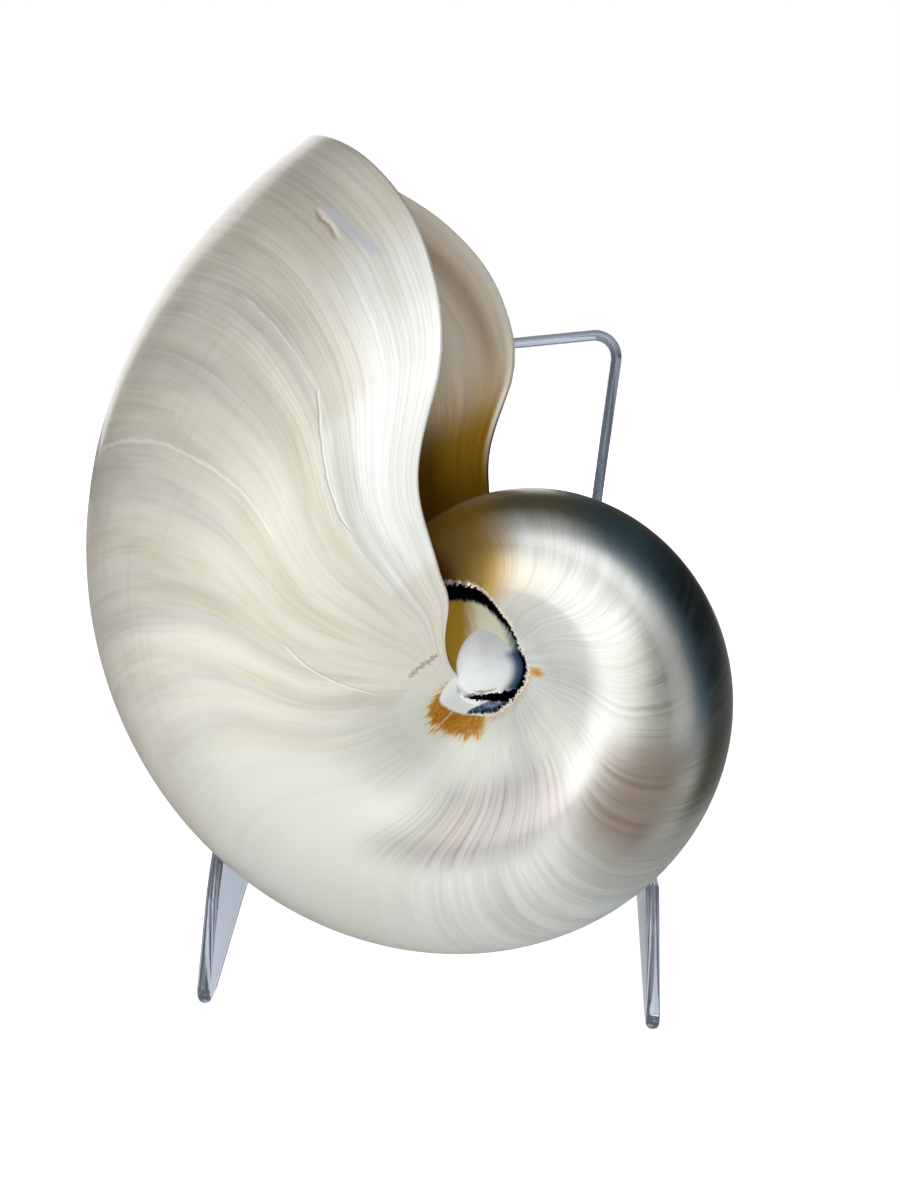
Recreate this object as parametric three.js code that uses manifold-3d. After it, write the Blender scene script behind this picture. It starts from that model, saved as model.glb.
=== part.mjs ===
import * as THREE from 'three';
import { mergeVertices } from 'three/addons/utils/BufferGeometryUtils.js';
import Module from 'manifold-3d';

// Polished pearl nautilus shell standing in a clear acrylic stand.
// Millimetres, +Z up, the front faces -Y, the table is z = 0.

// Shell. Lengths without a unit are shares of the coil radius where they are measured.
const lipRadius = 102;          // mm from the coil axis to the lip at the keel line
const growthRate = 0.1988;      // natural log of the radius gained per radian of coil
const growthBend = 0.0017;      // slow change of that rate, per radian squared
const lipDirection = 109.75;    // degrees, where the lip's keel point stands above +X
const halfWidth = 0.4154;       // half the breadth of the whorl
const widestAt = 0.5;           // distance of the broadest line from the axis
const keelPower = 2.18;         // roundness of the outer arch of the section
const flankPower = 1.6;         // how late the flank bends in towards the navel
const navelFloor = 0.035;       // the flank ends here
const navelWidth = 0.15;        // with this half breadth
const plugRadius = 6;           // mm, callus boss that fills the navel
const plugReach = 12.6;         // mm, its reach to each side
const plugPlace = [-1.1, 2.6];  // mm, right of and above the coil axis
const wall = 2.2;               // mm, shell wall
const chamberTurn = 2.3;        // radians of coil in the open living chamber
const septumBulge = 0.3;        // radians that its last wall is dished backwards
const coilStep = THREE.MathUtils.degToRad(7.5);

// The lip and every growth line run ahead of a straight radius by this many radians.
const growthLine = [
  [0.035, -2.2], [0.06, -1.5], [0.1, -0.59], [0.15, -0.07], [0.22, 0.047],
  [0.36, 0.118], [0.52, 0.276], [0.68, 0.254], [0.84, 0.151], [1, 0],
];

// Pose of the shell in the stand
const axisHeight = 68.7;        // mm, coil axis above the table
const leanBack = 2;             // degrees
const turnToFront = 4.72;       // degrees, right side towards the front

// Stand: two upright plates and one bent rod
const plateThickness = 2.65;
const leftPlateX = -57.8;
const rightPlateX = 31.1;
const restGap = 0.4;            // mm kept between the shell and the plates
const rodRadius = 1.2;
const rodHole = 1.55;
const rodMiddleX = -13.85;
const rodY = 48.2;
const rodFootZ = 14;
const rodFootHalf = 25.4;       // half distance between the uprights at the foot
const rodTopHalf = 37.8;        // and at the top corners
const rodCornerZ = 131.9;
const rodDipZ = 128.3;          // the top bar is lowest half way
const rodFillet = 5;
const rodSides = 10;

// The coil axis sits off the middle of the whole
const axisX = 18.3;
const axisY = -8.8;

const wasm = await Module();
wasm.setup();

function solidFrom(vertices, triangles) {
  const mesh = new wasm.Mesh({
    numProp: 3,
    vertProperties: new Float32Array(vertices.flatMap((v) => [v.x, v.y, v.z])),
    triVerts: new Uint32Array(triangles.flat()),
  });
  return new wasm.Manifold(mesh);
}

function solidFromGeometry(geometry) {
  const bare = geometry.clone();
  bare.deleteAttribute('normal');
  bare.deleteAttribute('uv');
  const merged = mergeVertices(bare, 1e-4);
  return new wasm.Manifold(new wasm.Mesh({
    numProp: 3,
    vertProperties: new Float32Array(merged.attributes.position.array),
    triVerts: new Uint32Array(merged.index.array),
  }));
}

function geometryFrom(solid) {
  const mesh = solid.getMesh();
  const geometry = new THREE.BufferGeometry();
  geometry.setAttribute('position', new THREE.BufferAttribute(mesh.vertProperties, 3));
  geometry.setIndex(new THREE.BufferAttribute(mesh.triVerts, 1));
  geometry.computeVertexNormals();
  return geometry;
}

// Smooth curve through the growth line's stations, with mean slopes at the stations
function growthLead(rho) {
  const last = growthLine.length - 1;
  const slopeAt = (i) => {
    const [x0, y0] = growthLine[Math.max(i - 1, 0)];
    const [x1, y1] = growthLine[Math.min(i + 1, last)];
    return (y1 - y0) / (x1 - x0);
  };
  let i = 0;
  while (i < last - 1 && rho > growthLine[i + 1][0]) i += 1;
  const [xa, ya] = growthLine[i];
  const [xb, yb] = growthLine[i + 1];
  const span = xb - xa;
  const t = (rho - xa) / span;
  const t2 = t * t;
  const t3 = t2 * t;
  return ya * (2 * t3 - 3 * t2 + 1) + slopeAt(i) * span * (t3 - 2 * t2 + t)
    + yb * (3 * t2 - 2 * t3) + slopeAt(i + 1) * span * (t3 - t2);
}

// Half breadth of the whorl inside its broadest line: the flank dips evenly into the navel
function flankWidth(rho) {
  const inward = (widestAt - rho) / (widestAt - navelFloor);
  return halfWidth - (halfWidth - navelWidth) * inward ** flankPower;
}

// One side of the section from the keel line to the navel, as [distance, half breadth]
const archPoints = Array.from({ length: 10 }, (_, i) => {
  const t = (i / 9) * (Math.PI / 2);
  const rho = widestAt + (1 - widestAt) * Math.max(Math.cos(t), 0) ** (2 / keelPower);
  return [i === 9 ? widestAt : rho, halfWidth * Math.sin(t) ** (2 / keelPower)];
});
const flankPoints = [0.42, 0.34, 0.27, 0.2, 0.15, 0.115, 0.085, 0.058, navelFloor]
  .map((rho) => [rho, flankWidth(rho)]);
const profile = [...archPoints, ...flankPoints];

// Outward direction of the section at each of its points
const profileNormals = profile.map((_, i) => {
  const a = profile[Math.max(i - 1, 0)];
  const b = profile[Math.min(i + 1, profile.length - 1)];
  const length = Math.hypot(b[0] - a[0], b[1] - a[1]);
  return i === 0 ? [1, 0] : [(b[1] - a[1]) / length, -(b[0] - a[0]) / length];
});

// Point of the whorl at a coil angle (zero at the lip); side +1 is the front, -1 the back
function whorlPoint(coil, i, side, inset) {
  const [rho, breadth] = profile[i];
  const q = coil + growthLead(rho);
  const radius = lipRadius * Math.exp(growthRate * q + growthBend * q * q);
  const across = radius * rho - inset * profileNormals[i][0];
  const out = radius * breadth - inset * profileNormals[i][1];
  const angle = THREE.MathUtils.degToRad(lipDirection) - q;
  return new THREE.Vector3(across * Math.cos(angle), -side * out, across * Math.sin(angle));
}

function whorlRing(coil, inset) {
  const count = profile.length;
  const near = Array.from({ length: count }, (_, k) => whorlPoint(coil, count - 1 - k, 1, inset));
  const far = Array.from({ length: count - 1 }, (_, k) => whorlPoint(coil, k + 1, -1, inset));
  return [...near, ...far];
}

// Closes one end of a sweep with rows from the near to the far side, dished by a turn about the axis
function lid(vertices, ring, columns, bulge) {
  const last = ring.length - 1;
  const half = last / 2;
  const rows = [];
  for (let i = 1; i < half; i += 1) {
    const near = vertices[ring[i]];
    const far = vertices[ring[last - i]];
    const row = [ring[i]];
    for (let c = 1; c < columns; c += 1) {
      const w = c / columns;
      const turn = bulge * 4 * w * (1 - w) * Math.sqrt(1 - i / half);
      const point = near.clone().lerp(far, w).applyAxisAngle(new THREE.Vector3(0, 1, 0), turn);
      row.push(vertices.push(point) - 1);
    }
    rows.push([...row, ring[last - i]]);
  }
  const tip = ring[half];
  const triangles = [[ring[0], ring[last], ring[last - 1]]];
  for (let c = 0; c < columns; c += 1) {
    triangles.push([ring[0], rows[0][c + 1], rows[0][c]]);
    triangles.push([rows[half - 2][c], rows[half - 2][c + 1], tip]);
    for (let i = 0; i + 1 < rows.length; i += 1) {
      const [a, b, d, e] = [rows[i][c], rows[i][c + 1], rows[i + 1][c + 1], rows[i + 1][c]];
      triangles.push([a, b, d], [a, d, e]);
    }
  }
  return triangles;
}

// Solid swept along the coil, closed along the axis and at both ends
function whorlSolid(fromStep, toStep, inset, bulge = 0) {
  const vertices = [];
  const rings = [];
  for (let j = fromStep; j <= toStep; j += 1) {
    rings.push(whorlRing(j * coilStep, inset).map((v) => vertices.push(v) - 1));
  }
  const triangles = [];
  const count = rings[0].length;
  for (let j = 0; j + 1 < rings.length; j += 1) {
    for (let i = 0; i < count; i += 1) {
      const n = (i + 1) % count;
      const [a, b, c, d] = [rings[j][i], rings[j][n], rings[j + 1][n], rings[j + 1][i]];
      triangles.push([a, c, b], [a, d, c]);
    }
  }
  const back = lid(vertices, rings[0], bulge ? 6 : 1, -bulge);
  const front = lid(vertices, rings[rings.length - 1], 1, 0);
  triangles.push(...back.map(([a, b, c]) => [a, c, b]), ...front);
  return solidFrom(vertices, triangles);
}

const turnSteps = Math.round((2 * Math.PI) / coilStep);
const chamberSteps = Math.round(chamberTurn / coilStep);

// Both half turns, less the living chamber, with the earlier whorl standing inside it
const outerWhorl = whorlSolid(-turnSteps / 2 - 2, 0, 0)
  .add(whorlSolid(-turnSteps - 4, -turnSteps / 2, 0));
const chamber = whorlSolid(-chamberSteps, 3, wall, septumBulge);
const innerWhorl = whorlSolid(-turnSteps - chamberSteps - 6, -turnSteps + 5, 0);
const plug = new THREE.SphereGeometry(1, 18, 12);
plug.scale(plugRadius, plugReach, plugRadius);
plug.translate(plugPlace[0], 0, plugPlace[1]);
const shellSolid = outerWhorl.subtract(chamber).add(innerWhorl).add(solidFromGeometry(plug));

const pearl = new THREE.MeshStandardMaterial({ color: 0xd9d2c4, roughness: 0.25, metalness: 0 });
const shell = new THREE.Mesh(geometryFrom(shellSolid), pearl);
shell.name = 'shell';
shell.rotation.set(
  THREE.MathUtils.degToRad(-leanBack), 0, THREE.MathUtils.degToRad(-turnToFront), 'ZXY',
);
shell.position.set(0, 0, axisHeight);
shell.updateMatrix();

// Upright plate: a toe in front, a long arch, a heel behind and a cradle under the shell
function plateOutline() {
  const outline = new THREE.Shape();
  outline.moveTo(-16.6, 0);
  outline.quadraticCurveTo(-18.4, 1.2, -17.6, 4);
  outline.lineTo(-10.2, 18);
  outline.quadraticCurveTo(-6, 26, 2, 33);
  outline.lineTo(26, 33);
  outline.quadraticCurveTo(44, 31, 53, 15);
  outline.lineTo(59.5, 3.4);
  outline.quadraticCurveTo(60.6, 0.8, 58, 0);
  outline.lineTo(52, 0);
  outline.quadraticCurveTo(46, 12, 33, 13.2);
  outline.quadraticCurveTo(20, 14, 8, 9);
  outline.lineTo(-11, 0.6);
  outline.quadraticCurveTo(-12.2, 0, -13.4, 0);
  outline.closePath();
  return outline;
}

// The shell grown by the rest gap shapes the cradle
const cradleCutter = whorlSolid(-turnSteps / 2 - 2, 0, -restGap)
  .add(whorlSolid(-turnSteps - 4, -turnSteps / 2, -restGap))
  .transform(shell.matrix.elements);

function standPlate(name, x) {
  const blank = new THREE.ExtrudeGeometry(plateOutline(), {
    depth: plateThickness, bevelEnabled: false, curveSegments: 7,
  });
  blank.translate(0, 0, -plateThickness / 2);
  const upright = new THREE.Matrix4().makeBasis(
    new THREE.Vector3(0, 1, 0), new THREE.Vector3(0, 0, 1), new THREE.Vector3(1, 0, 0),
  );
  blank.applyMatrix4(upright);
  blank.translate(x, 0, 0);
  const hole = new THREE.CylinderGeometry(rodHole, rodHole, plateThickness * 3, 16);
  hole.rotateZ(Math.PI / 2);
  hole.translate(x, rodY, rodFootZ);
  const solid = solidFromGeometry(blank).subtract(solidFromGeometry(hole)).subtract(cradleCutter);
  const acrylic = new THREE.MeshStandardMaterial({
    color: 0xc9d6e0, roughness: 0.05, metalness: 0, transparent: true, opacity: 0.35,
  });
  const plate = new THREE.Mesh(geometryFrom(solid), acrylic);
  plate.name = name;
  return plate;
}

// Rod line in its own upright plane: in from one plate, up, across with a shallow dip, down and out
function rodLine() {
  const flush = plateThickness / 2;
  const corners = [
    [leftPlateX - flush, rodFootZ, 0],
    [rodMiddleX - rodFootHalf, rodFootZ, rodFillet],
    [rodMiddleX - rodTopHalf, rodCornerZ, rodFillet],
    [rodMiddleX, rodDipZ, 60],
    [rodMiddleX + rodTopHalf, rodCornerZ, rodFillet],
    [rodMiddleX + rodFootHalf, rodFootZ, rodFillet],
    [rightPlateX + flush, rodFootZ, 0],
  ].map(([x, z, fillet]) => ({ at: new THREE.Vector2(x, z), fillet }));
  const points = [];
  corners.forEach(({ at, fillet }, i) => {
    if (fillet === 0) {
      points.push(at);
      return;
    }
    const before = corners[i - 1].at.clone().sub(at).normalize();
    const after = corners[i + 1].at.clone().sub(at).normalize();
    const half = Math.acos(before.dot(after)) / 2;
    const run = fillet / Math.tan(half);
    const centre = before.clone().add(after).normalize().multiplyScalar(fillet / Math.sin(half)).add(at);
    const start = before.multiplyScalar(run).add(at).sub(centre);
    const end = after.multiplyScalar(run).add(at).sub(centre);
    const sweep = Math.atan2(start.cross(end), start.dot(end));
    for (let k = 0; k <= 6; k += 1) {
      points.push(start.clone().rotateAround(new THREE.Vector2(), (sweep * k) / 6).add(centre));
    }
  });
  return points;
}

function standRod() {
  const line = rodLine();
  const vertices = [];
  const triangles = [];
  line.forEach((point, j) => {
    const ahead = line[Math.min(j + 1, line.length - 1)].clone().sub(line[Math.max(j - 1, 0)]).normalize();
    for (let i = 0; i < rodSides; i += 1) {
      const turn = (2 * Math.PI * i) / rodSides;
      const out = rodRadius * Math.cos(turn);
      const depth = rodRadius * Math.sin(turn);
      vertices.push(new THREE.Vector3(point.x - out * ahead.y, rodY + depth, point.y + out * ahead.x));
    }
  });
  const rings = line.length;
  for (let j = 0; j + 1 < rings; j += 1) {
    for (let i = 0; i < rodSides; i += 1) {
      const n = (i + 1) % rodSides;
      const [a, b] = [j * rodSides + i, j * rodSides + n];
      triangles.push([a, b + rodSides, b], [a, a + rodSides, b + rodSides]);
    }
  }
  for (let i = 1; i + 1 < rodSides; i += 1) {
    const end = (rings - 1) * rodSides;
    triangles.push([0, i, i + 1], [end, end + i + 1, end + i]);
  }
  const acrylic = new THREE.MeshStandardMaterial({
    color: 0xc9d6e0, roughness: 0.08, metalness: 0, transparent: true, opacity: 0.4,
  });
  const rod = new THREE.Mesh(geometryFrom(solidFrom(vertices, triangles)), acrylic);
  rod.name = 'back_rod';
  return rod;
}

const stand = new THREE.Group();
stand.add(standPlate('left_plate', leftPlateX));
stand.add(standPlate('right_plate', rightPlateX));
stand.add(standRod());

const model = new THREE.Group();
model.add(shell);
model.add(stand);
model.position.set(axisX, axisY, 0);

const part = new THREE.Group();
part.add(model);

export default part;
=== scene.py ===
import math
import bpy
import numpy as np
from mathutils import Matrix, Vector
from mathutils.geometry import tessellate_polygon


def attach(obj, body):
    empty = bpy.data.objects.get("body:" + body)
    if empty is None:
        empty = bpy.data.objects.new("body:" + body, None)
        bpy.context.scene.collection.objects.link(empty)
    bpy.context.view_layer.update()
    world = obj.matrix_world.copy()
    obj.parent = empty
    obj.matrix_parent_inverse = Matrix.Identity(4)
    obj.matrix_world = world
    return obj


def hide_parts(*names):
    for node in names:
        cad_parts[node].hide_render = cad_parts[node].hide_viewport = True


# Polished pearl nautilus resting in a clear stand: shell, two callus bosses, two plates, one bent rod.
# Shapes are worked out in millimetres; metres only when a mesh is made.

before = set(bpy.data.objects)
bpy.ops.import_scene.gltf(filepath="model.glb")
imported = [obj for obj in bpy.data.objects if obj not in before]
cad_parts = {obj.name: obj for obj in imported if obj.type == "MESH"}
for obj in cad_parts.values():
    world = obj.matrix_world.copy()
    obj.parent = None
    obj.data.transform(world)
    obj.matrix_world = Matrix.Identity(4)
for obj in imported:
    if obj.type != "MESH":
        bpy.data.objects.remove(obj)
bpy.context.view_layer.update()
metre = 0.001
tau = 2 * math.pi
print("frame loaded:", sorted(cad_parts))


# helpers for meshes

def smooth(value, low, high):   # 0 below low, 1 above high, an S between; low may be the larger one
    t = np.clip((value - low) / (high - low), 0, 1)
    return t * t * (3 - 2 * t)


def unit(vectors):
    return vectors / np.maximum(np.linalg.norm(vectors, axis=-1, keepdims=True), 1e-9)


# quads of a grid of points whose rows run along the path; the last column joins the first
def tubeFaces(rows, cols, start=0):
    index = start + np.arange(rows * cols).reshape(rows, cols)
    ahead = np.roll(index, -1, axis=1)
    return np.stack([index[:-1], ahead[:-1], ahead[1:], index[1:]], axis=-1).reshape(-1, 4)


# fan of triangles from one ring of points to a single middle point
def fanFaces(ring, middle, turned):
    ahead = np.roll(ring, -1)
    centre = np.full_like(ring, middle)
    order = [ring, centre, ahead] if turned else [ring, ahead, centre]
    return np.stack(order, axis=-1)


# puts points and faces into a new object, with per-point attributes
def makePiece(name, points, faceSets, materials, materialSets=None, attributes=None):
    mesh = bpy.data.meshes.new(name)
    faces = [face for faceSet in faceSets for face in np.asarray(faceSet).tolist()]
    mesh.from_pydata((points * metre).tolist(), [], faces)
    for material in materials:
        mesh.materials.append(material)
    if materialSets is not None:
        picks = np.concatenate([np.full(len(f), m) for f, m in zip(faceSets, materialSets)])
        mesh.polygons.foreach_set("material_index", picks.astype(np.int32))
    mesh.shade_smooth()
    for key, values in (attributes or {}).items():
        kind = "FLOAT" if values.ndim == 1 else "FLOAT_VECTOR"
        layer = mesh.attributes.new(key, kind, "POINT")
        layer.data.foreach_set("value" if kind == "FLOAT" else "vector", values.astype(np.float32).ravel())
    mesh.update()
    piece = bpy.data.objects.new(name, mesh)
    bpy.context.scene.collection.objects.link(piece)
    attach(piece, "root")
    print("made", name, len(mesh.vertices), "points", len(mesh.polygons), "faces")
    return piece


# helpers for shaders

def colour(code):   # "rrggbb" as seen on a screen to the linear colour a socket takes
    share = np.array([int(code[i:i + 2], 16) for i in (0, 2, 4)]) / 255
    linear = np.where(share <= 0.04045, share / 12.92, ((share + 0.055) / 1.055) ** 2.4)
    return (*linear.tolist(), 1.0)


def feed(tree, socket, value):
    if isinstance(value, bpy.types.NodeSocket):
        tree.links.new(value, socket)
    else:
        socket.default_value = value


def put(tree, kind, inputs=None, **settings):
    node = tree.nodes.new(kind)
    for key, value in settings.items():
        setattr(node, key, value)
    for key, value in (inputs or {}).items():
        feed(tree, node.inputs[key], value)
    return node


def calc(tree, operation, *values):
    inputs = dict(enumerate(values))
    return put(tree, "ShaderNodeMath", inputs, operation=operation).outputs[0]


def times(tree, *values):   # product of any number of masks
    result = values[0]
    for value in values[1:]:
        result = calc(tree, "MULTIPLY", result, value)
    return result


def step(tree, value, low, high):   # soft step, 0 at low and 1 at high
    limits = {"Value": value, "From Min": low, "From Max": high}
    return put(tree, "ShaderNodeMapRange", limits, interpolation_type="SMOOTHSTEP").outputs["Result"]


def within(tree, value, low, high, soft):   # 1 between low and high, fading outside over soft
    rising = step(tree, value, low - soft, low)
    falling = step(tree, value, high + soft, high)
    return times(tree, rising, falling)


def closeTo(tree, value, middle, reach):   # 1 on middle, 0 from reach onwards
    away = calc(tree, "ABSOLUTE", calc(tree, "SUBTRACT", value, middle))
    return step(tree, away, reach, 0.0)


def blend(tree, value, factor, offset):   # value * factor + offset
    return calc(tree, "MULTIPLY_ADD", value, factor, offset)


def jitter(tree, value, noise, reach):   # value moved up and down by a noise, reach from end to end
    return blend(tree, calc(tree, "SUBTRACT", noise, 0.5), reach, value)


def tint(tree, share, under, over):
    inputs = {0: share, 6: under, 7: over}
    return put(tree, "ShaderNodeMix", inputs, data_type="RGBA").outputs[2]


def lay(tree, under, code, *masks):   # a plain colour over what is there, as far as all masks allow
    return tint(tree, times(tree, *masks), under, colour(code))


def stretch(tree, vector, factors, shift=(0, 0, 0)):
    inputs = {0: vector, 1: factors, 2: shift}
    return put(tree, "ShaderNodeVectorMath", inputs, operation="MULTIPLY_ADD").outputs[0]


def distance(tree, vector, place):
    return put(tree, "ShaderNodeVectorMath", {0: vector, 1: place}, operation="DISTANCE").outputs["Value"]


def length(tree, vector):
    return put(tree, "ShaderNodeVectorMath", {0: vector}, operation="LENGTH").outputs["Value"]


def grain(tree, vector, factors, detail=2, rough=0.5, shift=(0, 0, 0)):   # noise on a stretched vector
    where = stretch(tree, vector, factors, shift)
    inputs = {"Vector": where, "Scale": 1.0, "Detail": detail, "Roughness": rough}
    return put(tree, "ShaderNodeTexNoise", inputs).outputs["Fac"]


def relief(tree, shader, height, strength, depth):   # bump, depth in metres, on the shader's normal
    bump = put(tree, "ShaderNodeBump", {"Height": height, "Strength": strength, "Distance": depth})
    feed(tree, shader.inputs["Normal"], bump.outputs[0])


def split(tree, vector):
    return put(tree, "ShaderNodeSeparateXYZ", {0: vector}).outputs


def pick(tree, vector, *places):   # some of the three parts of a vector
    parts = split(tree, vector)
    return [parts[i] for i in places]


def attribute(tree, name):
    return put(tree, "ShaderNodeAttribute", attribute_name=name).outputs


def newMaterial(name):
    material = bpy.data.materials.new(name)
    material.use_nodes = True
    tree = material.node_tree
    return material, tree, tree.nodes["Principled BSDF"]


def newGroup(name, inputs, outputs):   # shader group with named sockets; returns it with its two ends
    group = bpy.data.node_groups.new(name, "ShaderNodeTree")
    for key, kind in inputs:
        group.interface.new_socket(key, in_out="INPUT", socket_type=kind)
    for key, kind in outputs:
        group.interface.new_socket(key, in_out="OUTPUT", socket_type=kind)
    return group, group.nodes.new("NodeGroupInput"), group.nodes.new("NodeGroupOutput")


def useGroup(tree, group, inputs):
    node = tree.nodes.new("ShaderNodeGroup")
    node.node_tree = group
    for key, value in inputs.items():
        feed(tree, node.inputs[key], value)
    return node.outputs


# growth lines: noise drawn out along each line of growth, at three widths, and fainter spiral threads across

growthLook = {
    "waver": ((3, 5, 1), 0.035),        # noise that bends the lines, and how far in radians
    "lines": {
        # repeats per radian of coil and across the section, detail, roughness and shift of the noise
        "Fine": ((130, 2.6, 0), 2, 0.6, (0, 0, 0)),
        "Streak": ((26, 1.6, 0), 3, 0.6, (3, 0, 4)),
        "Band": ((8, 1.4, 0), 2, 0.5, (7, 0, 9)),
        "Thread": ((1.6, 90, 0), 1, 0.5, (0, 5, 2)),
    },
}


def growthLinesGroup():
    outputs = [(key, "NodeSocketFloat") for key in growthLook["lines"]]
    group, start, end = newGroup("growth lines", [("Growth", "NodeSocketVector")], outputs)
    growth = start.outputs["Growth"]
    factors, reach = growthLook["waver"]
    bent = calc(group, "MULTIPLY", grain(group, growth, factors), reach)
    aside = put(group, "ShaderNodeCombineXYZ", {"X": bent}).outputs[0]
    line = put(group, "ShaderNodeVectorMath", {0: growth, 1: aside}, operation="ADD").outputs[0]
    for key, values in growthLook["lines"].items():
        feed(group, end.inputs[key], grain(group, growth if key == "Thread" else line, *values))
    return group


growthLines = growthLinesGroup()

# shell: shape values; lengths without a unit are shares of the coil radius where they are measured

shellShape = {
    "lipRadius": 102.0,         # mm, coil axis to the lip at the keel
    "growthRate": 0.1988,       # natural log of radius per radian of coil
    "growthBend": 0.0017,
    "lipDirection": math.radians(109.75),
    "halfWidth": 0.4154,
    "widestAt": 0.5,
    "keelPower": 2.18,
    "flankPower": 1.6,          # how late the flank bends in towards the navel
    "navelFloor": 0.035,        # the flank ends here
    "navelWidth": 0.15,
    "navelSide": 0.2,           # closer columns inside this
    "growthLine": [(0.035, -2.2), (0.06, -1.5), (0.1, -0.59), (0.15, -0.07), (0.22, 0.047),
                   (0.36, 0.118), (0.52, 0.276), (0.68, 0.254), (0.84, 0.151), (1, 0)],
    "wall": 2.2,                # mm
    "lipWall": 1.2,             # mm, thinner at the lip
    "chamberTurn": 2.3,         # radians of coil back to the last septum
    "septumBulge": 0.3,
    "innerTurn": 2.6,           # radians of the earlier whorl inside the chamber
    "axis": (18.3, -8.8, 68.7),     # mm, coil axis in the part's frame
    "leanBack": math.radians(2.0),
    "turnToFront": math.radians(4.72),
    "ridge": 0.015,             # mm, low relief of the growth ridges at the lip
    "ridgeSeed": 11,
    "ridgeSets": [(0.085, 0.6), (0.021, 0.4)],      # radians between ridges, and share of the height
    "ridgeStart": (0.14, 0.3),                      # ridges come in between these shares of the radius
    "polished": (0.85, (-1.2, -1.8), (-3.3, -2.8)),     # how far they go on the underside, and its two ends
    "columns": (24, 32, 30),    # in the navel, on the flank, on the arch to the keel
    "rows": (44, 270, 158),     # hidden inner turn, inner turn, last turn
    "rowBreaks": (-1 - tau, -2.9),
    "liningRows": 52, "lipRows": 8, "septumRows": 14,
    "wallFull": (-0.02, -0.4),  # radians of coil from the thin lip to the full wall
    "navelWall": (0.35, (0.05, 0.2)),       # share of the wall left in the navel, and where it grows full
    "septumMiddle": (0.55, 0.2),    # share of the radius, radians behind the lining's end
}

# navel: a level floor inside a ragged rim, as (a, b) millimetres right of and above the coil axis

navelShape = {
    "middle": (-1.0, 2.0),
    "rim": [(-110, 9.0), (-89, 8.8), (-79, 9.1), (-61, 8.4), (-37, 7.9), (-6, 7.5), (26, 6.6), (49, 7.6),
            (74, 10.0), (86, 12.3), (95, 14.6), (110, 15.8), (117, 17.1), (140, 14), (168, 9)],   # deg, mm
    "stations": 120,            # even stations around the rim
    "softened": 9,              # stations under the kernel that rounds its corners
    "levelled": 10,             # rim stations that set the floor's slope
    "depth": 0.9,               # mm below the rim
    "edge": 0.55,               # mm, width of the step
    "fillFrom": -2.1,           # radians of coil where the dip starts to fill
    "fillTo": -2.6,
}


# smooth curve through the growth line's stations, each with the mean slope of its neighbours
def growthLead(rho):
    at, lead = np.array(shellShape["growthLine"]).T
    slope = np.gradient(lead, at)
    slope[1:-1] = (lead[2:] - lead[:-2]) / (at[2:] - at[:-2])
    i = np.clip(np.searchsorted(at, rho) - 1, 0, len(at) - 2)
    span = at[i + 1] - at[i]
    t = (rho - at[i]) / span
    t2, t3 = t * t, t * t * t
    ends = lead[i] * (2 * t3 - 3 * t2 + 1) + lead[i + 1] * (3 * t2 - 2 * t3)
    return ends + span * (slope[i] * (t3 - 2 * t2 + t) + slope[i + 1] * (t3 - t2))


def coilRadius(q):   # log spiral with a slowly changing rate
    return shellShape["lipRadius"] * np.exp(shellShape["growthRate"] * q + shellShape["growthBend"] * q * q)


# half breadth at a share rho of the radius: superellipse outside, a flank dipping evenly into the navel
def halfBreadth(rho):
    v = shellShape
    out = np.clip((rho - v["widestAt"]) / (1 - v["widestAt"]), 0, 1)
    arch = v["halfWidth"] * np.maximum(1 - out ** v["keelPower"], 0) ** (1 / v["keelPower"])
    inward = np.clip((v["widestAt"] - rho) / (v["widestAt"] - v["navelFloor"]), 0, 1)
    flank = v["halfWidth"] - (v["halfWidth"] - v["navelWidth"]) * inward ** v["flankPower"]
    return np.where(rho >= v["widestAt"], arch, flank)


# shell surface: a right of the axis, b above it, c towards the front; theta is zero at the lip
def coilPoint(theta, rho, side):
    q = theta + growthLead(rho)
    radius = coilRadius(q)
    angle = shellShape["lipDirection"] - q
    a, b = radius * rho * np.cos(angle), radius * rho * np.sin(angle)
    return np.stack([a, b, side * radius * halfBreadth(rho)], -1)


def placed(local):   # coil frame to the part's frame: lean back, turn to the front, move to the axis
    a, b, c = np.moveaxis(local, -1, 0)
    lean, turn = shellShape["leanBack"], shellShape["turnToFront"]
    y = -c * math.cos(lean) + b * math.sin(lean)
    z = c * math.sin(lean) + b * math.cos(lean)
    x = a * math.cos(turn) + y * math.sin(turn)
    y = y * math.cos(turn) - a * math.sin(turn)
    return np.stack([x, y, z], -1) + shellShape["axis"]


# distance outside the rim along a ray from the navel's middle, negative inside
def rimDistance(a, b):
    degrees, reach = np.array(navelShape["rim"], float).T
    da, db = a - navelShape["middle"][0], b - navelShape["middle"][1]
    around = np.degrees(np.arctan2(db, da))
    fine = np.linspace(-180, 180, navelShape["stations"], endpoint=False)
    kernel = np.hanning(navelShape["softened"])
    more = navelShape["softened"] // 2
    rough = np.interp(fine, degrees, reach, period=360)
    looped = np.concatenate([rough[-more:], rough, rough[:more]])
    soft = np.convolve(looped, kernel / kernel.sum(), "valid")
    return np.hypot(da, db) - np.interp(around, fine, soft, period=360)


# plane through the shell at the rim's first stations, lowered by the depth: c = p0 + p1 a + p2 b
def navelPlane():
    degrees, reach = np.array(navelShape["rim"][:navelShape["levelled"]], float).T
    a = navelShape["middle"][0] + reach * np.cos(np.radians(degrees))
    b = navelShape["middle"][1] + reach * np.sin(np.radians(degrees))
    q = shellShape["lipDirection"] - np.arctan2(b, a) - tau
    radius = coilRadius(q)
    height = radius * halfBreadth(np.hypot(a, b) / radius)
    terms = np.stack([np.ones_like(a), a, b], -1)
    plane = np.linalg.lstsq(terms, height, rcond=None)[0]
    plane[0] -= navelShape["depth"]
    return plane


navelFloor = navelPlane()
print("navel floor plane", np.round(navelFloor, 3))


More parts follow.
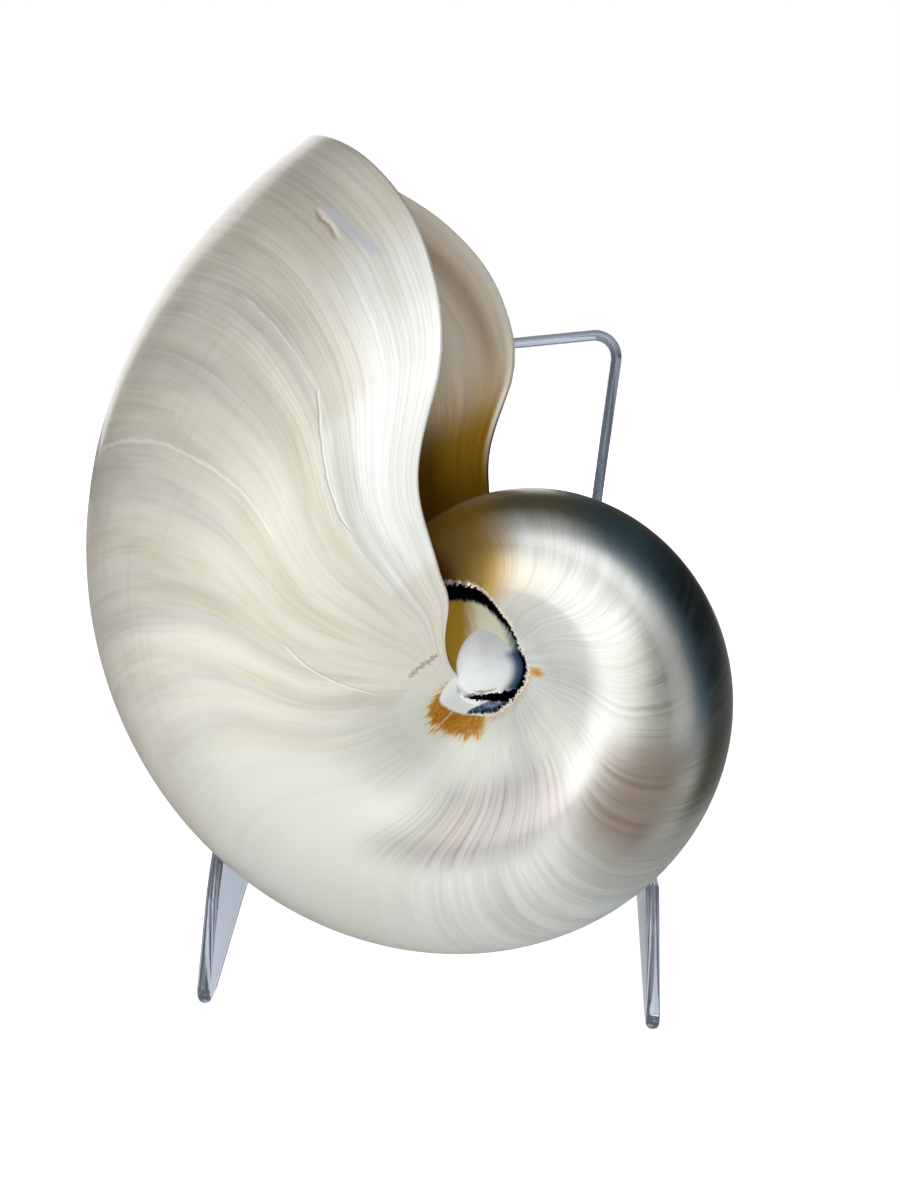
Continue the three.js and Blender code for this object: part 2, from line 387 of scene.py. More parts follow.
def floorHeight(a, b):
    return navelFloor[0] + navelFloor[1] * a + navelFloor[2] * b


# columns of the section from the front navel over the keel to the back navel: rho, side, and arc share s
def sectionColumns():
    v = shellShape
    inNavel, onFlank, onArch = v["columns"]
    navel = np.linspace(v["navelFloor"], v["navelSide"], inNavel)[:-1]
    flank = np.linspace(v["navelSide"], v["widestAt"], onFlank)[:-1]
    turn = np.linspace(0, math.pi / 2, onArch)
    arch = v["widestAt"] + (1 - v["widestAt"]) * np.sin(turn) ** (2 / v["keelPower"])
    arch[-1] = 1
    half = np.concatenate([navel, flank, arch])
    breadth = halfBreadth(half)
    run = np.concatenate([[0], np.cumsum(np.hypot(np.diff(half), np.diff(breadth)))])
    toKeel = 1 - run / run[-1]
    rho = np.concatenate([half, half[-2::-1]])
    side = np.concatenate([np.ones(len(half)), -np.ones(len(half) - 1)])
    return rho, side, np.concatenate([toKeel, -toKeel[-2::-1]])


def gridNormals(points):   # cross product of the two grid directions; columns are a ring
    along = np.gradient(points, axis=0)
    across = np.roll(points, -1, axis=1) - np.roll(points, 1, axis=1)
    return unit(np.cross(along, across))


# low growth ridges: two sets of seeded random heights joined by smooth steps along theta
def growthRidges(theta):
    draw = np.random.default_rng(shellShape["ridgeSeed"])
    total = np.zeros_like(theta)
    before, whole = 11, 12    # radians: more than the coil has
    for spacing, share in shellShape["ridgeSets"]:
        heights = draw.uniform(-1, 1, int(whole / spacing))
        place = (theta + before) / spacing
        i = np.floor(place).astype(int)
        t = smooth(place - i, 0, 1)
        total += share * (heights[i] * (1 - t) + heights[i + 1] * t)
    return total


def shellGrid():
    v = shellShape
    rho, side, share = sectionColumns()
    roll = v["lipWall"] / 2 / v["lipRadius"]
    breaks = (-tau - v["innerTurn"], *v["rowBreaks"], -roll)
    runs = [np.linspace(*ends) for ends in zip(breaks[:-1], breaks[1:], v["rows"])]
    theta = np.concatenate([runs[0][:-1], runs[1][:-1], runs[2]])
    rows, cols = np.meshgrid(theta, np.arange(len(rho)), indexing="ij")
    skin = coilPoint(rows, rho[cols], side[cols])
    normals = gridNormals(skin)
    polish, onset, ending = v["polished"]
    height = v["ridge"] * coilRadius(rows) / v["lipRadius"] * smooth(rho[cols], *v["ridgeStart"])
    height = height * (1 - polish * smooth(rows, *onset) * smooth(rows, *ending))
    skin = skin + normals * (growthRidges(rows) * height)[..., None]
    # the dip of the inner turns is filled to the navel floor inside the rim
    rim = rimDistance(skin[..., 0], skin[..., 1])
    turned = rows + growthLead(rho[cols])
    filled = smooth(rim, 0, -navelShape["edge"])
    filled = filled * smooth(turned, navelShape["fillFrom"], navelShape["fillTo"])
    floor = side[cols] * floorHeight(skin[..., 0], skin[..., 1])
    skin[..., 2] += filled * (floor - skin[..., 2])
    # lining: the same surface set in by the wall, thinner at the lip and in the navel
    thetaIn = np.linspace(-roll, -v["chamberTurn"], v["liningRows"])
    rowsIn, colsIn = np.meshgrid(thetaIn, np.arange(len(rho)), indexing="ij")
    outer = coilPoint(rowsIn, rho[colsIn], side[colsIn])
    wall = v["lipWall"] + (v["wall"] - v["lipWall"]) * smooth(rowsIn, *v["wallFull"])
    left, grows = v["navelWall"]
    wall = wall * (left + (1 - left) * smooth(rho[colsIn], *grows))
    lining = outer + gridNormals(outer) * wall[..., None]
    # lip: half an ellipse from the skin's last row to the lining's first
    middle = (skin[-1] + lining[0]) / 2
    across = (skin[-1] - lining[0]) / 2
    forward = unit(skin[-1] - skin[-2]) * np.linalg.norm(across, axis=-1, keepdims=True)
    bend = np.linspace(0, math.pi, v["lipRows"])[1:-1, None, None]
    lip = middle + across * np.cos(bend) + forward * np.sin(bend)
    # septum: the last ring drawn to its middle and dished back by a turn about the axis
    outward, behind = v["septumMiddle"]
    reach = outward * coilRadius(-v["chamberTurn"])
    angle = v["lipDirection"] + v["chamberTurn"] - behind
    centre = reach * np.array([math.cos(angle), math.sin(angle), 0])
    inward = np.linspace(0, 1, v["septumRows"])[1:-1, None, None]
    dish = lining[-1] + (centre - lining[-1]) * inward
    turn = v["septumBulge"] * (1 - (1 - inward[..., 0]) ** 2)
    a, b = dish[..., 0].copy(), dish[..., 1].copy()
    dish[..., 0] = a * np.cos(turn) - b * np.sin(turn)
    dish[..., 1] = a * np.sin(turn) + b * np.cos(turn)
    grid = np.concatenate([skin, lip, lining, dish])
    atSeptum = np.full(len(dish), -v["chamberTurn"])
    thetaAll = np.concatenate([theta, np.zeros(len(lip)), thetaIn, atSeptum])
    growth = np.stack(np.broadcast_arrays(thetaAll[:, None], share[None], rho[None]), -1)
    return grid, growth, len(skin)


# pearl: creamy on the last turn, porcelain below, silver with rosy sheens on the inner turns, with painted
# highlights, painted shade and painted dark reflections laid over them

pearlPaint = {
    "cream": "e1dbcc", "mauve": "b3a690", "moss": "b9b18e", "dusk": "aaa39c", "porcelain": "dadcd5",
    "silver": "d4d7d2", "ash": "aeaba4", "white": "f5f8f7", "teal": "2b6788", "olive": "6c5e20",
    "darkReflection": "1f230f", "rose": "735040", "dove": "85827f", "shade": "69634d", "pink": "a38087",
    "leaf": "f0f6e6", "beige": "cdbda4", "ochre": "c3960e", "rust": "7c3614",
    "lilac": "c9ccd8", "chip": "f3efe4", "bark": "9c7446", "crack": "8b8276",
    "halo": "e4e8dc", "straw": "e8dcb8", "gold": "cf9a2c", "amber": "ae6c04", "peach": "e0b888",
    "bone": "cfcdb4", "gilt": "96710e", "navy": "1a3c63", "slate": "6f86a8", "umber": "5a3d1c",
    "ink": "050507",
}

pearlFinish = {
    "roughness": 0.3, "lineRoughness": 0.1, "rimRoughness": 0.3,   # all over; added by fine lines, by the rim
    "metallic": 0.25, "silverMetallic": 0.6, "washMetallic": 0.65,
    "coat": 0.3, "coatRoughness": 0.12, "uncoated": (0.6, 0.65),    # no coat where it is as metallic as this
    "bump": 0.05, "bumpDepth": 0.0006,
    "film": 380, "filmIor": 1.45,       # nm
}

# where the ground changes: radians of coil, then shares of the section's radius
pearlGround = {
    "porcelain": (-1.0, -2.1), "porcelainShare": 0.85,
    "silver": (-2.7, -3.5),
    "metal": (-3.0, -3.7), "metalAcross": (0.3, 0.6),
    "clouds": (-2.3, -1.1), "cloudsAcross": (0.1, 0.3),
    # calm places: share of calm, ends along the coil and softness, step across the section
    "calm": [(0.5, (-2.4, -0.8, 0.5), (0.34, 0.24)), (0.85, (-2.55, -1.7, 0.5), (0.26, 0.42))],
}

# washes of colour, several of them painted highlight, painted shade and painted reflection: name, ends along
# the coil and softness, ends across the section and softness, strength, and how far the wash breaks up into
# streaks
pearlWashes = [
    # painted shade: mauve darkens the keel edge of the last turn, where the surface turns away from the light
    ("mauve", -2.3, 0.1, 0.4, 0.92, 1.0, 0.12, 0.6, 0.3),
    # painted highlight: the two white washes near the lip stand for the bright band where the flank reflects
    # the key light
    ("white", -0.17, 0.0, 0.1, 0.34, 0.66, 0.1, 0.95, 0.25),
    ("white", -0.41, 0.0, 0.04, 0.255, 0.5, 0.025, 0.95, 0.22),
    ("ash", -6.1, -4.6, 0.35, 0.3, 0.7, 0.12, 0.8, 0.3),
    # painted shade: grey-olive over the lower right of the inner turn, which faces away from the light
    ("shade", -4.65, -3.8, 0.45, 0.66, 0.92, 0.18, 0.92, 0.3),
    ("dove", -3.3, -2.65, 0.35, 0.35, 0.48, 0.12, 0.95, 0.7),
    ("pink", -3.6, -2.8, 0.25, 0.37, 0.48, 0.08, 0.85, 0.7),
    ("rose", -4.1, -3.9, 0.38, 0.55, 0.74, 0.12, 0.92, 0.5),
    # painted highlight: a pale greenish-white patch on the inner turn
    ("leaf", -4.0, -3.65, 0.3, 0.26, 0.33, 0.08, 1.0, 0.25),
    # painted highlight: a thin white arc along the inner turn's shoulder
    ("white", -6.0, -4.5, 0.3, 0.77, 0.80, 0.05, 0.85, 0.3),
    # painted dark reflection of the dim room: olive along the inner turn's top edge, teal and a near-black
    # band on its right; the teal is partly the nacre's own blue-grey
    ("olive", -6.6, -4.1, 0.3, 0.93, 1.0, 0.09, 0.95, 0.1),
    ("teal", -5.3, -4.5, 0.45, 0.87, 0.96, 0.09, 0.95, 0.3),
    ("darkReflection", -4.9, -4.05, 0.35, 0.92, 1.0, 0.08, 0.9, 0.1),
    ("beige", -6.3, -5.9, 0.35, 0.3, 0.6, 0.12, 0.7, 0.3),
    # painted reflection and shade: ochre on the inner turn inside the mouth stands for the lining's warm
    # light in the lip's shadow, with a darker rust-brown further in
    ("ochre", -9.0, -6.22, 0.32, 0.1, 1.0, 0.3, 0.97, 0.1),
    ("rust", -9.0, -6.66, 0.2, 0.5, 1.0, 0.2, 0.8, 0.05),
]
deepWashes = ("rose", "olive", "teal", "darkReflection", "ochre", "rust")    # clouds and fine lines stay off these
metalWashes = ("olive", "teal", "darkReflection", "ochre", "rust")

# small marks of the skin, each a thin line theta = start + lean (rho - from) + bow (rho - from)^2
pearlMarks = [
    # colour, start, lean, bow, from, ends across the section, half width, strength
    ("lilac", -0.112, -0.3, 0.0, 0.75, (0.705, 0.79), 0.022, 0.75),
    ("chip", -0.136, 0.1, 0.0, 0.78, (0.757, 0.797), 0.009, 0.8),
    ("bark", -0.146, 0.12, 0.0, 0.78, (0.76, 0.797), 0.007, 0.6),
    # the crack's step is painted: a grey line for its shaded side and a white line for its lit raised edge
    ("crack", -0.413, 0.0, 4.0, 0.463, (0.375, 0.555), 0.005, 0.6),
    ("white", -0.404, 0.0, 4.0, 0.463, (0.375, 0.555), 0.006, 0.7),
    ("white", -0.371, 0.0, 0.0, 0.7, (0.59, 0.76), 0.005, 0.45),
    ("white", -0.765, -0.08, 0.0, 0.7, (0.48, 0.9), 0.009, 0.5),
    # a real scar whose ridge is painted: a grey line for its shaded side and a white line for its lit side
    ("crack", -1.12, 1.5, 0.0, 0.39, (0.25, 0.39), 0.008, 0.4),
    ("white", -1.135, 1.5, 0.0, 0.39, (0.25, 0.39), 0.015, 0.6),
]


def mixed(under, over, share):
    return under + (over - under) * share[..., None]


def between(values, low, high, soft):   # 1 between low and high, fading outside over soft
    return smooth(values, low - soft, low) * smooth(values, high + soft, high)


# ground colours at each point: an even tone, a second one that shows in streaks, the shares of streaks,
# clouds and metal, and a calm share that keeps clouds and lines off the deep washes
def skinTones(theta, rho):
    paint = {name: np.array(colour(code)[:3]) for name, code in pearlPaint.items()}
    v, finish = pearlGround, pearlFinish
    low = v["porcelainShare"] * smooth(theta, *v["porcelain"])
    tone = mixed(paint["cream"], paint["porcelain"], low)
    tone = mixed(tone, paint["silver"], smooth(theta, *v["silver"]))
    silvered = smooth(theta, *v["metal"]) * smooth(rho, *v["metalAcross"])
    metal = finish["metallic"] + (finish["silverMetallic"] - finish["metallic"]) * silvered
    streaks, weight = np.zeros_like(tone), np.zeros_like(theta)
    clear, calm = np.ones_like(theta), np.ones_like(theta)
    for name, t0, t1, tSoft, r0, r1, rSoft, strength, streaky in pearlWashes:
        reach = strength * between(theta, t0, t1, tSoft) * between(rho, r0, r1, rSoft)
        tone = mixed(tone, paint[name], reach * (1 - streaky))
        streaks += paint[name] * (reach * streaky)[..., None]
        weight += reach * streaky
        clear *= 1 - reach * streaky
        calm *= 1 - reach * (name in deepWashes)
        metal = np.maximum(metal, finish["washMetallic"] * reach * (name in metalWashes))
    streaks /= np.maximum(weight, 1e-6)[..., None]
    cloudy = smooth(theta, *v["clouds"]) * smooth(rho, *v["cloudsAcross"])
    for share, along, across in v["calm"]:
        calm *= 1 - share * between(theta, *along) * smooth(rho, *across)
    return tone, streaks, np.stack([1 - clear, cloudy, metal], -1), calm


# lines and clouds of the skin: steps on the noises of the growth lines, and strengths
pearlLines = {
    # clouds: stretch and shift of the noise, ends of its step, strength
    "clouds": {"moss": ((6, 2.6, 0), (0, 0, 0), (0.42, 0.7), 0.55),
               "dusk": ((7, 2.2, 0), (5, 3, 8), (0.45, 0.7), 0.5)},
    "band": (0.45, 0.7), "bandShare": 0.3,
    "streak": (0.35, 0.68), "streakShare": (-0.25, 0.45),       # change with the clouds, strength without
    "fine": (0.4, 0.7), "fineShare": 0.16,
    "spiral": (0.5, 0.7), "spiralAcross": (0.5, 0.75), "spiralAlong": (-0.2, -0.5), "spiralShare": 0.12,
    "thread": (0.56, 0.36), "threadAlong": (-0.6, -0.3), "threadShare": 0.22,
    "shake": (14, 26, 0), "shakeReach": 0.022,      # waver of the marks, radians
    "markEnd": 0.02,
}


def pearlSkin(tree, growth, lines, shares, calm, near):
    paint, v = pearlPaint, pearlLines
    theta, rho = pick(tree, growth, 0, 2)
    streaky, cloudy = shares[:2]
    skin = attribute(tree, "tone")["Vector"]
    for name, (factors, shift, ends, strength) in v["clouds"].items():
        cloud = step(tree, grain(tree, growth, factors, 3, 0.6, shift), *ends)
        skin = lay(tree, skin, paint[name], cloud, cloudy, strength)
    streak = step(tree, lines["Streak"], *v["streak"])
    skin = lay(tree, skin, paint["ash"], step(tree, lines["Band"], *v["band"]), calm, v["bandShare"])
    skin = lay(tree, skin, paint["white"], streak, calm, blend(tree, cloudy, *v["streakShare"]))
    skin = lay(tree, skin, paint["white"], step(tree, lines["Fine"], *v["fine"]), calm, v["fineShare"])
    spiral = times(tree, step(tree, lines["Thread"], *v["spiral"]), step(tree, rho, *v["spiralAcross"]),
                   step(tree, theta, *v["spiralAlong"]))
    skin = lay(tree, skin, paint["dusk"], spiral, cloudy, v["spiralShare"])
    skin = tint(tree, times(tree, streak, streaky), skin, attribute(tree, "streaks")["Vector"])
    thread = times(tree, step(tree, lines["Fine"], *v["thread"]), step(tree, theta, *v["threadAlong"]))
    skin = lay(tree, skin, paint["ash"], thread, v["threadShare"])
    shaken = jitter(tree, theta, grain(tree, growth, v["shake"], 3, 0.65), v["shakeReach"])
    for name, start, lean, bow, origin, ends, width, strength in pearlMarks:
        along = calc(tree, "SUBTRACT", rho, origin)
        middle = blend(tree, along, blend(tree, along, bow, lean), start)
        ended = within(tree, rho, *ends, v["markEnd"])
        skin = lay(tree, skin, paint[name], closeTo(tree, shaken, middle, width), ended, near, strength)
    return skin


# navel: pale halo, amber stain, white tongue of the lip, chipped edge, black ragged rim and the floor inside
# it, laid out on the coil's plane: a right of the axis and b above it in mm, ray and bearing from the axis

navelLook = {
    "spokes": (16, 0.25, 0), "teeth": (1.9, 1.9, 0.3),      # noise over bearing and ray, and over the plane
    "lower": (-4.0, -3.6),              # radians of coil: the marks of the last turn end here
    "inner": (-2.35, -2.6),             # radians of coil: rim and floor start here
    "jag": 2.2, "insideRim": (0.12, -0.05), "floorEdge": (0.1, -0.05),      # mm
    "tongue": ((-2.75, 2.2), (8.0, 31.4), 1.5),     # its edge: lesser of two slope * bearing + ray, rounded
    "tongueTop": (0.6, -0.8), "tongueEdge": (0.5, -0.2),
    "feather": 7.0,                     # mm, radial feathers of halo and stain
    "halo": (3.0, 6.5, 1.5), "haloBearing": (-2.9, -1.3, 0.4), "haloShare": 0.7,
    "stain": (0.2, 2.6, 3.0),           # mm beyond the tongue's edge, and softness
    "stainBearing": (-2.95, -1.85, 0.42), "stainFoot": (-0.3, 0.5),
    "narrowing": (-2.4, -2.95), "narrowed": 3.6,    # towards this bearing, by this many mm
    "stainCoats": {"straw": (0.0, 0.6, 0.8), "gold": (0.15, 1.0, 0.9)},
    "rich": (0.4, 1.0), "richMottle": (0.55, 1.15),
    "hairline": (-2.32, 0.02), "hairlineWaver": 0.1,
    "spot": (8.4, 1.0), "spotShares": (0.7, 1.3), "spotFeather": 1.6, "spotEdge": (-0.9, 0.5),
    "crack": (-0.745, 11.7), "crackEnds": (-13.4, -8.9, 0.4),       # a * first + b = second
    "crackWaver": 3.4, "crackHalf": 0.75, "crackShare": 0.75,
    "speck": (-15.6, 0.1), "speckRings": {"white": (0.4, 0.25), "ink": (0.16, 0.08)},
    "rimDeep": (5.0, 17.0), "rimDepth": (-2.8, 0.9),    # the black reaches further in from b = 5 to 17
    "rimFibre": 2.4, "rimFade": (-0.7, 0.5),
    "warmFeather": 2.5, "warm": (3.2, 1.4), "warmFoot": (-0.1, 0.2), "warmBearing": (-1.5, 0.0, 0.3),
    "chip": (0.0, 0.55, 0.25), "edgeShare": 0.9,
    # gilt: golden floor towards the back, partly painted shade under the near lip
    "gilt": (-1.5, -5.5), "giltShake": 3.0, "floorWhite": (1.5, -1.5),
    "floorFibre": 2.0, "floorBlue": (-1.6, 0.6), "floorBlueFrom": (-3.0, 0.0), "floorBlueShare": 0.9,
    "blueHeight": (-2.4, 3.6, 1.6), "blue": (-3.6, -1.3), "blueRoot": (-1.5, -0.5),
    "line": -4.25, "lineHalf": (0.11, 0.74), "lineWaver": 2.0,      # under the boss; half width grows with a
    "lineEnds": (-4.0, 5.2, 0.3), "lineEdge": (-0.1, 0.1),
    "fringe": (0.5, 0.7), "fringeEnds": (-4.6, 3.4, 0.4), "fringeShare": 0.8,
    "wedgeTip": (-4.2, -6.6), "wedgeSlope": 0.42, "wedgeFoot": -7.0, "wedgeEnd": (1.5, 1.0),
    "wedgeSoft": (0.3, 0.6), "wedgeWaver": (0.8, 1.0), "wedgeMottle": (0.8, 1.15),
}


# what the marks are measured on: place on the coil's plane, distance to the rim, two noises and four masks
def navelFields(tree, growth, coil, navel, near):
    plan = navelLook
    a, b = pick(tree, coil, 0, 1)
    flat = stretch(tree, coil, (1, 1, 0))
    ray, bearing = length(tree, flat), calc(tree, "ARCTAN2", b, a)
    polar = put(tree, "ShaderNodeCombineXYZ", {"X": bearing, "Y": ray}).outputs[0]
    teeth, spokes = grain(tree, coil, plan["teeth"], 2, 0.7), grain(tree, polar, plan["spokes"], 4, 0.7)
    jag = jitter(tree, navel[0], teeth, plan["jag"])
    return {
        "a": a, "b": b, "flat": flat, "ray": ray, "bearing": bearing, "rim": navel[0], "jag": jag,
        "teeth": teeth, "spokes": spokes, "mottle": calc(tree, "ADD", spokes, teeth), "near": near,
        "lower": step(tree, split(tree, growth)[0], *plan["lower"]),
        "inner": step(tree, navel[1], *plan["inner"]),
        "insideRim": step(tree, jag, *plan["insideRim"]),
    }


# halo and stain beyond the white tongue's edge; the stain thins out in feathers and is richest in its middle
def stainSkin(tree, skin, at):
    paint, plan = pearlPaint, navelLook
    (slope, first), (otherSlope, other), rounding = plan["tongue"]
    rising, falling = blend(tree, at["bearing"], otherSlope, other), blend(tree, at["bearing"], slope, first)
    over = calc(tree, "SUBTRACT", at["ray"], calc(tree, "SMOOTH_MIN", falling, rising, rounding))
    ragged = jitter(tree, over, at["spokes"], plan["feather"])
    around = within(tree, at["bearing"], *plan["haloBearing"])
    halo = within(tree, ragged, *plan["halo"])
    skin = lay(tree, skin, paint["halo"], halo, around, at["lower"], plan["haloShare"])
    narrow = blend(tree, step(tree, at["bearing"], *plan["narrowing"]), plan["narrowed"], ragged)
    around = within(tree, at["bearing"], *plan["stainBearing"])
    stain = times(tree, within(tree, narrow, *plan["stain"]), around, at["lower"],
                  step(tree, over, *plan["stainFoot"]))
    for name, (low, high, strength) in plan["stainCoats"].items():
        skin = lay(tree, skin, paint[name], step(tree, stain, low, high), strength)
    rich = times(tree, step(tree, stain, *plan["rich"]), step(tree, at["mottle"], *plan["richMottle"]))
    skin = lay(tree, skin, paint["amber"], rich)
    wavering = blend(tree, at["teeth"], plan["hairlineWaver"], at["bearing"])
    skin = lay(tree, skin, paint["straw"], closeTo(tree, wavering, *plan["hairline"]), stain, at["near"])
    return skin, over, rich


# single marks of the near flank: golden spot, crack, dark speck in a pale ring; the tongue is on both flanks
def markSkin(tree, skin, at, over):
    paint, plan = pearlPaint, navelLook
    shares = (*plan["spotShares"], 0)
    spotAt = (plan["spot"][0] * shares[0], plan["spot"][1] * shares[1], 0)
    toSpot = distance(tree, stretch(tree, at["flat"], shares), spotAt)
    spot = calc(tree, "SUBTRACT", calc(tree, "MULTIPLY", at["spokes"], plan["spotFeather"]), toSpot)
    skin = lay(tree, skin, paint["gold"], step(tree, spot, *plan["spotEdge"]), at["near"])
    slope, height = plan["crack"]
    crack = calc(tree, "SUBTRACT", blend(tree, at["a"], slope, at["b"]), height)
    crack = closeTo(tree, jitter(tree, crack, at["teeth"], plan["crackWaver"]), 0.0, plan["crackHalf"])
    crack = times(tree, crack, within(tree, at["a"], *plan["crackEnds"]), at["lower"], at["near"])
    skin = lay(tree, skin, paint["crack"], crack, plan["crackShare"])
    toSpeck = distance(tree, at["flat"], (*plan["speck"], 0))
    for name, ends in plan["speckRings"].items():
        skin = lay(tree, skin, paint[name], step(tree, toSpeck, *ends), at["lower"], at["near"])
    tongue = times(tree, step(tree, at["b"], *plan["tongueTop"]), step(tree, over, *plan["tongueEdge"]))
    return lay(tree, skin, paint["white"], tongue, at["lower"])


def navelBlue(tree, rim, b):   # navy that comes in from the right corner, and the black at its root
    plan = navelLook
    tall = within(tree, b, *plan["blueHeight"])
    return [times(tree, step(tree, rim, *plan[part]), tall) for part in ("blue", "blueRoot")]


def floorTone(tree, a, b, noise):   # golden at the back, its dark gold partly painted shade under the near lip; bone in the middle, white below
    paint, plan = pearlPaint, navelLook
    golden = step(tree, jitter(tree, a, noise, plan["giltShake"]), *plan["gilt"])
    floor = lay(tree, colour(paint["bone"]), paint["gilt"], golden)
    return lay(tree, floor, paint["white"], step(tree, b, *plan["floorWhite"]))


# warm fringe and chips outside the rim, then the floor, and the black rim as a mask
def rimSkin(tree, skin, at):
    paint, plan = pearlPaint, navelLook
    rim, spokes = at["rim"], at["spokes"]
    depth = blend(tree, step(tree, at["b"], *plan["rimDeep"]), *plan["rimDepth"])
    inward = calc(tree, "SUBTRACT", blend(tree, spokes, plan["rimFibre"], rim), depth)
    warm = times(tree, step(tree, blend(tree, spokes, plan["warmFeather"], rim), *plan["warm"]),
                 step(tree, rim, *plan["warmFoot"]), within(tree, at["bearing"], *plan["warmBearing"]))
    skin = lay(tree, skin, paint["peach"], warm, at["inner"], plan["edgeShare"])
    chip = within(tree, at["jag"], *plan["chip"])
    skin = lay(tree, skin, paint["chip"], chip, at["inner"], plan["edgeShare"])
    fibres = step(tree, blend(tree, spokes, plan["floorFibre"], rim), *plan["floorBlue"])
    blue, root = navelBlue(tree, rim, at["b"])
    floor = floorTone(tree, at["a"], at["b"], spokes)
    floor = lay(tree, floor, paint["navy"], fibres, step(tree, at["a"], *plan["floorBlueFrom"]),
                plan["floorBlueShare"])
    floor = lay(tree, floor, paint["navy"], blue)
    skin = tint(tree, times(tree, step(tree, at["jag"], *plan["floorEdge"]), at["inner"]), skin, floor)
    black = calc(tree, "MAXIMUM", step(tree, inward, *plan["rimFade"]), root)
    return skin, times(tree, black, at["insideRim"], at["inner"])


# jagged black line under the boss with a brown fringe, and the mottled blue wedge below it
def underBoss(tree, skin, at):
    paint, plan = pearlPaint, navelLook
    a, b = at["a"], at["b"]
    line = jitter(tree, calc(tree, "SUBTRACT", b, plan["line"]), at["teeth"], plan["lineWaver"])
    half = blend(tree, a, *plan["lineHalf"])
    fringe = times(tree, closeTo(tree, line, *plan["fringe"]), within(tree, a, *plan["fringeEnds"]))
    skin = lay(tree, skin, paint["umber"], fringe, plan["fringeShare"])
    inLine = step(tree, calc(tree, "SUBTRACT", half, calc(tree, "ABSOLUTE", line)), *plan["lineEdge"])
    black = times(tree, inLine, within(tree, a, *plan["lineEnds"]), at["insideRim"])
    (tipA, tipB), (soft, full), (waver, footWaver) = plan["wedgeTip"], plan["wedgeSoft"], plan["wedgeWaver"]
    upper = blend(tree, calc(tree, "SUBTRACT", a, tipA), plan["wedgeSlope"], calc(tree, "SUBTRACT", tipB, b))
    foot = calc(tree, "SUBTRACT", blend(tree, at["spokes"], footWaver, b), plan["wedgeFoot"])
    wedge = times(tree, step(tree, blend(tree, at["teeth"], waver, upper), soft, full),
                  step(tree, foot, soft, full), step(tree, a, *plan["wedgeEnd"]),
                  step(tree, a, tipA, tipA + soft), at["lower"])
    speckle = step(tree, at["mottle"], *plan["wedgeMottle"])
    return tint(tree, wedge, skin, lay(tree, colour(paint["ink"]), paint["slate"], speckle)), black


def navelSkin(tree, skin, at):
    skin, over, rich = stainSkin(tree, skin, at)
    skin = markSkin(tree, skin, at, over)
    skin, rimBlack = rimSkin(tree, skin, at)
    skin, lineBlack = underBoss(tree, skin, at)
    black = calc(tree, "MAXIMUM", rimBlack, lineBlack)
    return lay(tree, skin, pearlPaint["ink"], black), black, rich


def pearlMaterial():
    finish = pearlFinish
    material, tree, shader = newMaterial("pearl")
    growth, coil = attribute(tree, "growth")["Vector"], attribute(tree, "coil")["Vector"]
    shares = split(tree, attribute(tree, "shares")["Vector"])
    lines = useGroup(tree, growthLines, {"Growth": growth})
    navel = split(tree, attribute(tree, "navel")["Vector"])
    near = step(tree, split(tree, coil)[2], -1.0, 1.0)    # mm; single marks are on the front flank alone
    skin = pearlSkin(tree, growth, lines, shares, navel[2], near)
    skin, black, rich = navelSkin(tree, skin, navelFields(tree, growth, coil, navel, near))
    feed(tree, shader.inputs["Base Color"], skin)
    shine = blend(tree, lines["Fine"], finish["lineRoughness"], finish["roughness"])
    feed(tree, shader.inputs["Roughness"], blend(tree, black, finish["rimRoughness"], shine))
    feed(tree, shader.inputs["Metallic"], calc(tree, "MAXIMUM", shares[2], black))
    relief(tree, shader, lines["Fine"], finish["bump"], finish["bumpDepth"])
    dull = calc(tree, "MAXIMUM", black, rich)
    dull = calc(tree, "MAXIMUM", dull, step(tree, shares[2], *finish["uncoated"]))
    feed(tree, shader.inputs["Coat Weight"], blend(tree, dull, -finish["coat"], finish["coat"]))
    shader.inputs["Coat Roughness"].default_value = finish["coatRoughness"]
    shader.inputs["Thin Film Thickness"].default_value = finish["film"]
    shader.inputs["Thin Film IOR"].default_value = finish["filmIor"]
    return material


# lining of the living chamber: taupe at the lip, ochre deeper in

liningLook = {
    "taupe": "d0bfa5", "cream": "ece3d2", "brown": "94704e", "ochre": "7e5c00", "deep": "8a6200",
    "rim": "ece6d8",
    "streak": (0.35, 0.65), "streakShare": 0.6, "band": (0.45, 0.65), "bandShare": 0.5,
    "stripe": (-0.09, 0.05), "stripeAcross": (0.45, 0.6), "stripeShare": 0.5,   # brown stripe along the lip
    "golden": (0.64, 0.41), "goldenMetal": 0.8, "deepFrom": (-0.35, -0.95),
    "edge": (-0.04, -0.012), "edgeAcross": (0.3, 0.5), "edgeShare": 0.8,
    "roughness": 0.34, "streakRoughness": 0.1, "bump": 0.1, "bumpDepth": 0.0006,
}


def liningMaterial():
    look = liningLook
    material, tree, shader = newMaterial("chamber lining")
    growth = attribute(tree, "growth")["Vector"]
    theta, rho = pick(tree, growth, 0, 2)
    lines = useGroup(tree, growthLines, {"Growth": growth})
    streak = step(tree, lines["Streak"], *look["streak"])
    wall = lay(tree, colour(look["taupe"]), look["cream"], streak, look["streakShare"])
    wall = lay(tree, wall, look["cream"], step(tree, lines["Band"], *look["band"]), look["bandShare"])
    stripe = times(tree, closeTo(tree, theta, *look["stripe"]), step(tree, rho, *look["stripeAcross"]))
    wall = lay(tree, wall, look["brown"], stripe, look["stripeShare"])
    golden = step(tree, rho, *look["golden"])
    wall = lay(tree, wall, look["ochre"], golden)
    wall = lay(tree, wall, look["deep"], step(tree, theta, *look["deepFrom"]))
    edge = times(tree, step(tree, theta, *look["edge"]), step(tree, rho, *look["edgeAcross"]))
    feed(tree, shader.inputs["Base Color"], lay(tree, wall, look["rim"], edge, look["edgeShare"]))
    feed(tree, shader.inputs["Metallic"], calc(tree, "MULTIPLY", golden, look["goldenMetal"]))
    feed(tree, shader.inputs["Roughness"], blend(tree, streak, look["streakRoughness"], look["roughness"]))
    relief(tree, shader, lines["Fine"], look["bump"], look["bumpDepth"])
    return material


